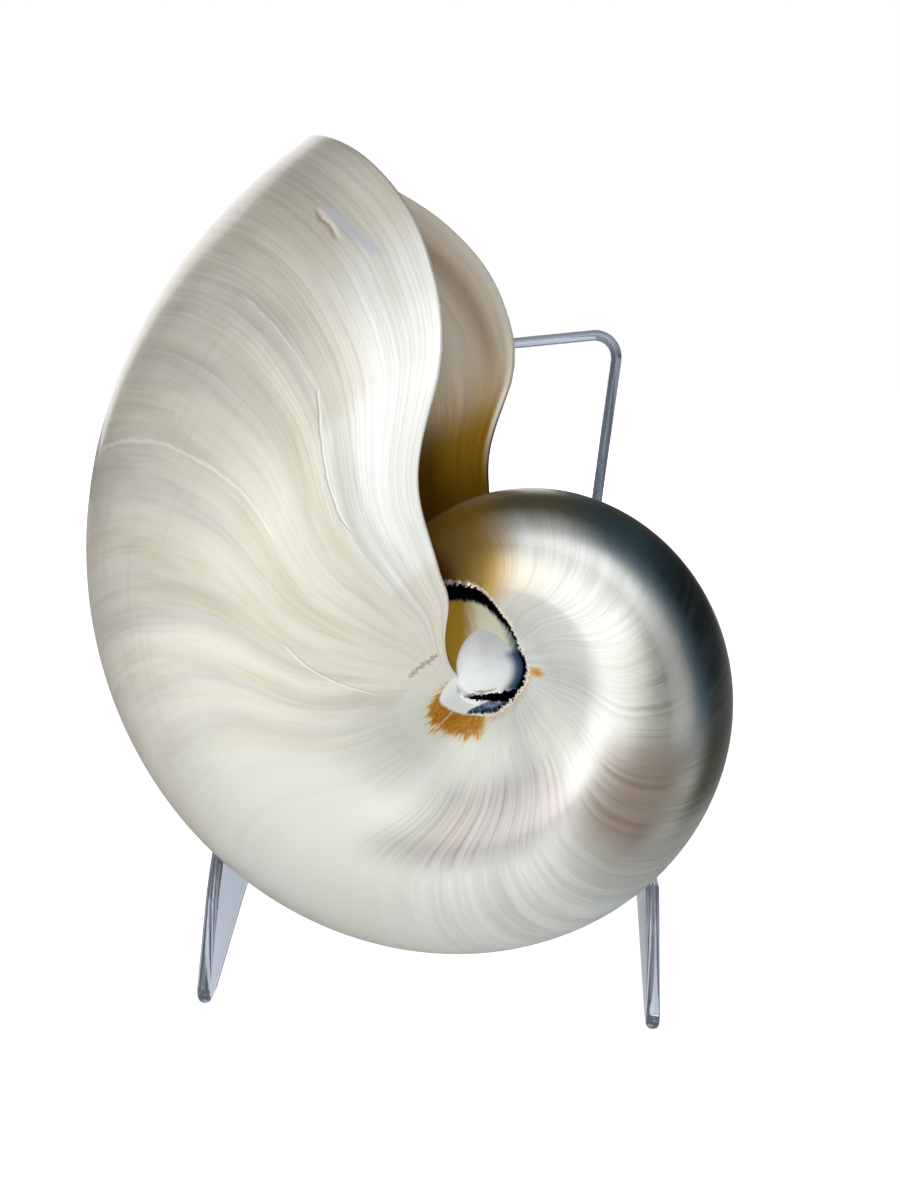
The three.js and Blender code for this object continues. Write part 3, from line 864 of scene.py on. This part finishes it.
# one closed grid: skin, lip, lining and septum in turn, each end drawn to its middle point
def makeShell():
    grid, growth, skinRows = shellGrid()
    rows, cols = grid.shape[:2]
    linedRow = skinRows + shellShape["lipRows"] // 2 - 1    # the lining starts half way over the lip
    local = np.concatenate([grid.reshape(-1, 3), [grid[0].mean(axis=0), grid[-1].mean(axis=0)]])
    grown = np.concatenate([growth.reshape(-1, 3), [growth[0].mean(axis=0), growth[-1].mean(axis=0)]])
    theta, rho = grown[:, 0], grown[:, 2]
    tone, streaks, shares, calm = skinTones(theta, rho)
    navel = np.stack([rimDistance(local[:, 0], local[:, 1]), theta + growthLead(rho), calm], -1)
    sides = tubeFaces(rows, cols)
    ring = np.arange(cols)
    skinFaces, liningFaces = sides[:(linedRow - 1) * cols], sides[(linedRow - 1) * cols:]
    startCap = fanFaces(ring, rows * cols, True)
    endCap = fanFaces((rows - 1) * cols + ring, rows * cols + 1, False)
    faces = [f[:, ::-1] for f in (skinFaces, startCap, liningFaces, endCap)]    # outwards
    piece = makePiece(
        "nautilus-shell", placed(local), faces, [pearlMaterial(), liningMaterial()], [0, 0, 1, 1],
        {"growth": grown, "coil": local, "navel": navel, "tone": tone, "streaks": streaks, "shares": shares},
    )
    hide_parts("shell")
    return grid[:skinRows]


skinGrid = makeShell()

# callus boss in each navel: a low egg-shaped dome that runs out into the navel floor

callusShape = {
    "middle": (-1.1, 2.7), "half": (6.2, 7.3), "tilt": math.radians(10),
    "egg": 0.22,                # narrowing towards the top
    "rise": 1.3,                # mm above the floor
    "sunk": 0.3,                # mm of its foot below the floor
    "fullness": 1.5,
    "rings": 22, "around": 72,
    "firstRing": 0.04, "footRings": (0.98, 0.6, 0.2),
}

callusLook = {
    "shadedGrey": "c0c2c5", "white": "e6eaeb", "line": "e6e8da", "navy": "1f4a78", "umber": "4a3115",
    "ink": "050507",
    "cloud": (0.5, 0.5, 0.5), "pale": (8.0, -1.5), "paleShake": 4.0,    # mm above the axis: white below, painted shade grey above
    "floor": (0.7, 0.98),               # shares of the way out where the floor's colour takes over
    # painted highlight: a pale line along the boss's upper edge
    "ring": (0.86, 0.06), "highlightTop": (4.5, 7.0), "highlightShare": 0.5,
    "foot": (-2.5, -3.4), "footShake": 2.0,
    "roughness": 0.36, "cloudRoughness": 0.1, "coat": 0.1,
}


def callusMaterial():
    look = callusLook
    material, tree, shader = newMaterial("callus")
    coil = attribute(tree, "coil")["Vector"]
    a, b = pick(tree, coil, 0, 1)
    rim, out = pick(tree, attribute(tree, "navel")["Vector"], 0, 1)
    cloud = grain(tree, coil, look["cloud"], 4)
    # painted shade: the boss is grey towards its top, white below
    pale = step(tree, jitter(tree, b, cloud, look["paleShake"]), *look["pale"])
    base = lay(tree, colour(look["shadedGrey"]), look["white"], pale)
    base = tint(tree, step(tree, out, *look["floor"]), base, floorTone(tree, a, b, cloud))
    # painted highlight: a pale line along the boss's upper edge
    ring = times(tree, closeTo(tree, out, *look["ring"]), step(tree, b, *look["highlightTop"]))
    base = lay(tree, base, look["line"], ring, look["highlightShare"])
    blue, root = navelBlue(tree, rim, b)
    base = lay(tree, base, look["navy"], blue)
    base = lay(tree, base, look["ink"], root)
    foot = step(tree, jitter(tree, b, cloud, look["footShake"]), *look["foot"])
    feed(tree, shader.inputs["Base Color"], lay(tree, base, look["umber"], foot))
    feed(tree, shader.inputs["Roughness"], blend(tree, cloud, look["cloudRoughness"], look["roughness"]))
    shader.inputs["Coat Weight"].default_value = look["coat"]
    return material


# dome over an egg: height = rise (1 - u^2)^fullness, u the share of the way to the edge; flat foot
def makeCallus(name, side, material):
    v = callusShape
    turn = np.linspace(0, tau, v["around"], endpoint=False)
    out = np.concatenate([np.sin(np.linspace(v["firstRing"], math.pi / 2, v["rings"])), v["footRings"]])
    foot = np.arange(len(out)) >= v["rings"]
    u = out[:, None]
    ey = v["half"][1] * u * np.sin(turn)
    ex = v["half"][0] * u * np.cos(turn) * (1 - v["egg"] * u * np.sin(turn))
    a = v["middle"][0] + ex * math.cos(v["tilt"]) - ey * math.sin(v["tilt"])
    b = v["middle"][1] + ex * math.sin(v["tilt"]) + ey * math.cos(v["tilt"])
    dome = (v["rise"] + v["sunk"]) * np.maximum(1 - u ** 2, 0) ** v["fullness"]
    c = floorHeight(a, b) - v["sunk"] + dome * (1 - foot[:, None])
    local = np.stack([a, b, c], -1)
    rows, cols = local.shape[:2]
    points = np.concatenate([local.reshape(-1, 3), [local[0].mean(axis=0), local[-1].mean(axis=0)]])
    points[:, 2] *= side
    reach = np.concatenate([np.repeat(out, cols), [0, 0]])
    navel = np.stack([rimDistance(points[:, 0], points[:, 1]), reach, 0 * reach], -1)
    ring = np.arange(cols)
    faces = [tubeFaces(rows, cols), fanFaces(ring, rows * cols, True),
             fanFaces((rows - 1) * cols + ring, rows * cols + 1, False)]
    if side > 0:
        faces = [f[:, ::-1] for f in faces]
    piece = makePiece(name, placed(points), faces, [material], attributes={"coil": points, "navel": navel})
    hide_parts("shell")


callus = callusMaterial()
makeCallus("callus-front", 1, callus)
makeCallus("callus-back", -1, callus)

# stand: two cut plates and a bent rod of clear acrylic

plateShape = {
    "x": {"left": -57.8, "right": 31.1},    # mm from the coil axis
    "shift": (18.3, -8.8),
    "thickness": 2.65,
    "edge": 1.15,               # mm, rounding of the polished edges
    "restGap": 0.4,             # mm between plate and shell
    "cradleFrom": 18,           # mm, edges above this follow the shell
    "underside": 45,            # mm, the shell's underside is below this
    "clear": 99,                # mm, stands for no shell above
    "hole": (48.2, 14.0), "holeRadius": 1.55, "holeSides": 40,
    "edgeRows": 5, "spacing": 0.5,      # points over a rounded edge, mm between points of the outline
    "start": (-16.6, 0),
    # each stretch: end point, or bend and end point of a curve
    "stretches": [
        ((-18.4, 1.2), (-17.6, 4)), ((-10.2, 18),), ((-6, 26), (2, 33)), ((26, 33),), ((44, 31), (53, 15)),
        ((59.5, 3.4),), ((60.6, 0.8), (58, 0)), ((52, 0),), ((46, 12), (33, 13.2)), ((20, 14), (8, 9)),
        ((-11, 0.6),), ((-12.2, 0), (-13.4, 0)), ((-16.6, 0),),
    ],
}

acrylicLook = {
    "plate": ("c9d0de", "b0b9ca", "c9d0de", 0.9),       # tint, hazy tint, tint of the low part, clear share; the rod's darker low-part tint is painted shade on its uprights
    "rod": ("959ba9", "788090", "525966", 0.85),
    "shadedLowPart": (0.131, 0.126),          # m, heights between which the low part's tint comes in
    "scratch": (900, 900, 90), "scratchBump": 0.06, "scratchDepth": 0.0002,
    "haze": (60, 60, 60), "hazeShare": 0.7, "hazeRoughness": 0.05,
    "ior": 1.49, "roughness": 0.03,
}


# clear plastic: plain transmission, with fine polishing scratches as bump and a faint haze in the roughness
def acrylicMaterial(name, kind):
    look = acrylicLook
    material, tree, shader = newMaterial(name)
    clear, hazy, low, share = look[kind]
    where = put(tree, "ShaderNodeTexCoord").outputs["Object"]
    haze = grain(tree, where, look["haze"], 3)
    # painted shade: below the top bar the rod takes a darker tint
    body = lay(tree, colour(clear), low, step(tree, split(tree, where)[2], *look["shadedLowPart"]))
    feed(tree, shader.inputs["Base Color"], lay(tree, body, hazy, haze, look["hazeShare"]))
    feed(tree, shader.inputs["Roughness"], blend(tree, haze, look["hazeRoughness"], look["roughness"]))
    scratch = grain(tree, where, look["scratch"], 3, 0.6)
    relief(tree, shader, scratch, look["scratchBump"], look["scratchDepth"])
    shader.inputs["Transmission Weight"].default_value = share
    shader.inputs["IOR"].default_value = look["ior"]
    return material


# outline as dense points (Y, Z): straight stretches and quadratic curves in turn
def plateOutline():
    at = np.array(plateShape["start"], float)
    runs = []
    for stretchEnds in plateShape["stretches"]:
        end = np.array(stretchEnds[-1], float)
        bend = np.array(stretchEnds[0], float) if len(stretchEnds) == 2 else (at + end) / 2
        count = max(int(np.linalg.norm(end - at) / plateShape["spacing"]), 5)
        t = np.linspace(0, 1, count, endpoint=False)[:, None]
        runs.append(at * (1 - t) ** 2 + 2 * bend * t * (1 - t) + end * t * t)
        at = end
    return np.concatenate(runs)


# underside of the shell where an upright plane x cuts it, as the lowest z for each y
def undersideAt(x, y):
    world = placed(skinGrid)
    near, far = world[:, :-1], world[:, 1:]
    cut = (near[..., 0] - x) * (far[..., 0] - x) < 0
    share = ((x - near[..., 0]) / (far[..., 0] - near[..., 0]))[cut][:, None]
    crossing = near[cut] + (far[cut] - near[cut]) * share
    low = crossing[crossing[:, 2] < plateShape["underside"]]
    order = np.argsort(low[:, 1])
    clear = plateShape["clear"]
    return np.interp(y, low[order, 1], low[order, 2], left=clear, right=clear)


def ringNormals(loop):   # outward normals of a closed loop that runs clockwise seen from +X
    along = unit(np.roll(loop, -1, axis=0) - np.roll(loop, 1, axis=0))
    return np.stack([-along[:, 1], along[:, 0]], -1)


# plate: outline carried across the thickness with rounded edges, flat faces on both sides around the hole
def makePlate(name, x, material):
    v = plateShape
    outline = plateOutline() + [v["shift"][1], 0]
    x = x + v["shift"][0]
    half = v["thickness"] / 2
    cradle = np.minimum(*[undersideAt(x + side, outline[:, 0]) for side in (-half, half)]) - v["restGap"]
    outline[:, 1] = np.minimum(outline[:, 1], np.where(outline[:, 1] > v["cradleFrom"], cradle, v["clear"]))
    turn = np.linspace(0, math.pi / 2, v["edgeRows"])
    inset = v["edge"] * np.concatenate([1 - np.sin(turn), 1 - np.sin(turn[::-1])])
    fromFace = half - v["edge"] * (1 - np.cos(turn))
    across = np.concatenate([-fromFace, fromFace[::-1]])
    around = np.linspace(0, tau, v["holeSides"], endpoint=False)
    centre = np.array(v["hole"]) + [v["shift"][1], 0]
    hole = centre + v["holeRadius"] * np.stack([np.cos(around), np.sin(around)], -1)
    loops, faceSets, start, flats = [], [], 0, []
    for loop, out in ((outline, ringNormals(outline)), (hole, -unit(hole - centre))):
        moved = loop[None] - inset[:, None, None] * out[None]
        depth = np.broadcast_to((x + across)[:, None, None], moved.shape[:2] + (1,))
        grid = np.concatenate([depth, moved], -1)
        rows, cols = grid.shape[:2]
        loops.append(grid.reshape(-1, 3))
        faceSets.append(tubeFaces(rows, cols, start))
        flats.append((start, rows, cols))
        start += rows * cols
    points = np.concatenate(loops)
    faceSets[0] = faceSets[0][:, ::-1]
    for back in (False, True):
        indices = [s + (r - 1) * n * back + np.arange(n) for s, r, n in flats]
        rings = [[Vector((points[i][1], points[i][2], 0)) for i in idx] for idx in indices]
        picked = np.concatenate(indices)[np.array(tessellate_polygon(rings))]
        corner = points[picked]
        area = np.cross(corner[:, 1] - corner[:, 0], corner[:, 2] - corner[:, 0])[:, 0]
        wrong = (area < 0) == back
        picked[wrong] = picked[wrong][:, ::-1]
        faceSets.append(picked)
    piece = makePiece(name, points, faceSets, [material])
    flat = np.concatenate([np.full(len(f), k > 1) for k, f in enumerate(faceSets)])
    piece.data.polygons.foreach_set("use_smooth", ~flat)
    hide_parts(name.replace("-", "_"))


plateAcrylic = acrylicMaterial("clear plate", "plate")
makePlate("left-plate", plateShape["x"]["left"], plateAcrylic)
makePlate("right-plate", plateShape["x"]["right"], plateAcrylic)

rodShape = {
    "radius": 1.2, "middle": -13.85, "y": 48.2,     # mm
    "footZ": 14.0, "footHalf": 25.4,
    "topHalf": 37.8, "cornerZ": 131.9, "dipZ": 128.3,
    "fillet": 5.0, "dipFillet": 60.0, "arcPoints": 17,
    "sides": 24, "endRound": 0.3, "endSteps": (1.0, 0.3, 0.0),
}


# centre line (X, Z): corners joined by straight runs, each corner rounded by an arc of its fillet radius
def rodLine():
    v = rodShape
    left, right = plateShape["x"]["left"], plateShape["x"]["right"]
    middle, flush = v["middle"], plateShape["thickness"] / 2
    corners = np.array([
        (left - flush, v["footZ"], 0), (middle - v["footHalf"], v["footZ"], v["fillet"]),
        (middle - v["topHalf"], v["cornerZ"], v["fillet"]), (middle, v["dipZ"], v["dipFillet"]),
        (middle + v["topHalf"], v["cornerZ"], v["fillet"]),
        (middle + v["footHalf"], v["footZ"], v["fillet"]), (right + flush, v["footZ"], 0),
    ])
    runs = [corners[:1, :2]]
    for before, (x, z, fillet), after in zip(corners[:-2], corners[1:-1], corners[2:]):
        at = np.array([x, z])
        toBack, toFront = unit(before[:2] - at), unit(after[:2] - at)
        half = math.acos(float(toBack @ toFront)) / 2
        centre = at + unit(toBack + toFront) * fillet / math.sin(half)
        t = np.linspace(0, 1, v["arcPoints"])[:, None]
        run = fillet / math.tan(half)
        ends = unit((at + toBack * run) * (1 - t) + (at + toFront * run) * t - centre)
        runs.append(centre + ends * fillet)
    runs.append(corners[-1:, :2])
    return np.concatenate(runs)


# rod: circle carried along the centre line, its two ends eased and closed
def makeRod(material):
    v = rodShape
    line = rodLine()
    ahead = unit(np.gradient(line, axis=0))
    ease = v["endRound"] * np.array(v["endSteps"])
    starts = line[0] + ahead[0] * (v["endRound"] - ease[::-1])[::-1, None]
    ends = line[-1] - ahead[-1] * (v["endRound"] - ease[::-1])[:, None]
    path = np.concatenate([starts, line[1:-1], ends])
    more = len(ease)
    ahead = np.concatenate([np.repeat(ahead[:1], more, 0), ahead[1:-1], np.repeat(ahead[-1:], more, 0)])
    shrink = np.concatenate([ease, np.zeros(len(line) - 2), ease[::-1]])
    turn = np.linspace(0, tau, v["sides"], endpoint=False)
    radius = (v["radius"] - shrink)[:, None]
    x = path[:, :1] - radius * np.cos(turn) * ahead[:, 1:]
    z = path[:, 1:] + radius * np.cos(turn) * ahead[:, :1]
    y = v["y"] + radius * np.sin(turn)
    grid = np.stack([x, y, z], -1) + [plateShape["shift"][0], plateShape["shift"][1], 0]
    rows, cols = grid.shape[:2]
    points = np.concatenate([grid.reshape(-1, 3), [grid[0].mean(axis=0), grid[-1].mean(axis=0)]])
    ring = np.arange(cols)
    faces = [tubeFaces(rows, cols)[:, ::-1], fanFaces(ring, rows * cols, False),
             fanFaces((rows - 1) * cols + ring, rows * cols + 1, True)]
    piece = makePiece("back-rod", points, faces, [material])
    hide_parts("back_rod")


makeRod(acrylicMaterial("clear rod", "rod"))

# floor, light and camera

stageLook = {
    "floorRadius": 4.0, "floorDrop": 0.2, "floorRings": 24, "floorSides": 64,       # m, mm
    "floor": "d3d3d2", "floorPale": "fbfbfa", "floorCloud": (3, 3, 3), "floorRoughness": 0.6,
    "floorGlow": 0.1, "floorSeen": 0.75, "poolGlow": 0.62,      # everywhere, to the eye, in a pool in front
    "farFloor": (0.2, 0.8),             # m, all white to the eye beyond
    "poolX": (-0.25, 0.1, 0.1), "poolY": (-0.6, -0.1, 0.06),        # m, ends and softness
    # lamps: azimuth to the right of the front, elevation, distance, size and power
    "lamps": {
        "key": (-8, 8, 1.0, (1.1, 0.62), 5.2),
        "high": (6, 40, 1.0, (1.0, 0.5), 2.4),
        "back": (-156, 20, 1.2, (1.2, 0.8), 5.0),
    },
    "lampTarget": (0, 0, 0.08),
    "room": "f3f1ec", "worldLow": 0.05, "worldHigh": 0.34,
    "worldSlope": (-0.6, -0.4), "worldEnds": (-0.7, 0.9),       # brightness along x and z, ends of its step
    "throughClear": 0.85,               # share of the white backdrop that the clear parts let through
}

cameraView = {"place": (28.07, -212.12, 127.5), "pitch": 12.967, "turn": 5.5, "focalShare": 1073.78 / 1200}


# how much of the white backdrop a ray sees: all from the camera, part through clear parts
def backdropShare(tree):
    path = put(tree, "ShaderNodeLightPath").outputs
    through = calc(tree, "MULTIPLY", path["Is Transmission Ray"], stageLook["throughClear"])
    return calc(tree, "MAXIMUM", path["Is Camera Ray"], through)


# floor: a flat disc a little under the feet, with its rings closer near the middle
def makeFloor():
    look = stageLook
    material, tree, shader = newMaterial("pale floor")
    material.cycles.emission_sampling = "NONE"
    where = put(tree, "ShaderNodeTexCoord").outputs["Object"]
    cloud = grain(tree, where, look["floorCloud"], 3)
    feed(tree, shader.inputs["Base Color"], lay(tree, colour(look["floor"]), look["floorPale"], cloud))
    shader.inputs["Roughness"].default_value = look["floorRoughness"]
    far = calc(tree, "MAXIMUM", step(tree, length(tree, where), *look["farFloor"]), look["floorSeen"])
    x, y = pick(tree, where, 0, 1)
    pool = times(tree, within(tree, x, *look["poolX"]), within(tree, y, *look["poolY"]), look["poolGlow"])
    unseen = calc(tree, "ADD", pool, look["floorGlow"])
    shader.inputs["Emission Color"].default_value = (1, 1, 1, 1)
    feed(tree, shader.inputs["Emission Strength"], blend(tree, far, backdropShare(tree), unseen))
    rings, sides, drop = look["floorRings"], look["floorSides"], -look["floorDrop"]
    turn = np.linspace(0, tau, sides, endpoint=False)
    reach = look["floorRadius"] / metre * np.linspace(0.01, 1, rings)[:, None] ** 2
    grid = np.stack(np.broadcast_arrays(reach * np.cos(turn), reach * np.sin(turn), drop + 0 * reach), -1)
    points = np.concatenate([grid.reshape(-1, 3), [(0, 0, drop)]])
    mesh = bpy.data.meshes.new("floor")
    middle = fanFaces(np.arange(sides), rings * sides, False)
    faces = tubeFaces(rings, sides)[:, ::-1].tolist() + middle.tolist()
    mesh.from_pydata((points * metre).tolist(), [], faces)
    mesh.materials.append(material)
    floor = bpy.data.objects.new("floor", mesh)
    bpy.context.scene.collection.objects.link(floor)


def areaLight(name, azimuth, elevation, distance, size, power):
    data = bpy.data.lights.new(name, "AREA")
    data.shape = "RECTANGLE"
    data.size, data.size_y = size
    data.energy = power
    lamp = bpy.data.objects.new(name, data)
    az, el = math.radians(azimuth), math.radians(elevation)
    back = Vector((math.sin(az) * math.cos(el), -math.cos(az) * math.cos(el), math.sin(el)))
    lamp.location = Vector(stageLook["lampTarget"]) + back * distance
    lamp.rotation_euler = back.to_track_quat("Z", "Y").to_euler()
    bpy.context.scene.collection.objects.link(lamp)


# room: brighter to the left and below, dim to the right and above; white where the camera looks past it
def makeWorld():
    look = stageLook
    world = bpy.data.worlds.new("soft room")
    bpy.context.scene.world = world
    world.use_nodes = True
    tree = world.node_tree
    tree.nodes.clear()
    x, z = pick(tree, put(tree, "ShaderNodeTexCoord").outputs["Generated"], 0, 2)
    alongX, alongZ = look["worldSlope"]
    leftward = blend(tree, x, alongX, calc(tree, "MULTIPLY", z, alongZ))
    share = step(tree, leftward, *look["worldEnds"])
    glow = blend(tree, share, look["worldHigh"] - look["worldLow"], look["worldLow"])
    room = put(tree, "ShaderNodeBackground", {"Color": colour(look["room"]), "Strength": glow}).outputs[0]
    plain = put(tree, "ShaderNodeBackground", {"Color": (1, 1, 1, 1), "Strength": 1.0}).outputs[0]
    either = put(tree, "ShaderNodeMixShader", {0: backdropShare(tree), 1: room, 2: plain}).outputs[0]
    put(tree, "ShaderNodeOutputWorld", {"Surface": either})


def makeCamera():
    data = bpy.data.cameras.new("camera")
    data.sensor_width = 36
    data.lens = 36 * cameraView["focalShare"]
    data.clip_start = 0.01
    camera = bpy.data.objects.new("camera", data)
    camera.location = Vector(cameraView["place"]) * metre
    camera.rotation_euler = (math.radians(90 - cameraView["pitch"]), 0, math.radians(cameraView["turn"]))
    bpy.context.scene.collection.objects.link(camera)
    bpy.context.scene.camera = camera


makeFloor()
for lampName, lampValues in stageLook["lamps"].items():
    areaLight(lampName, *lampValues)
makeWorld()
makeCamera()
bpy.context.scene.view_settings.view_transform = "Standard"
print("stage ready")
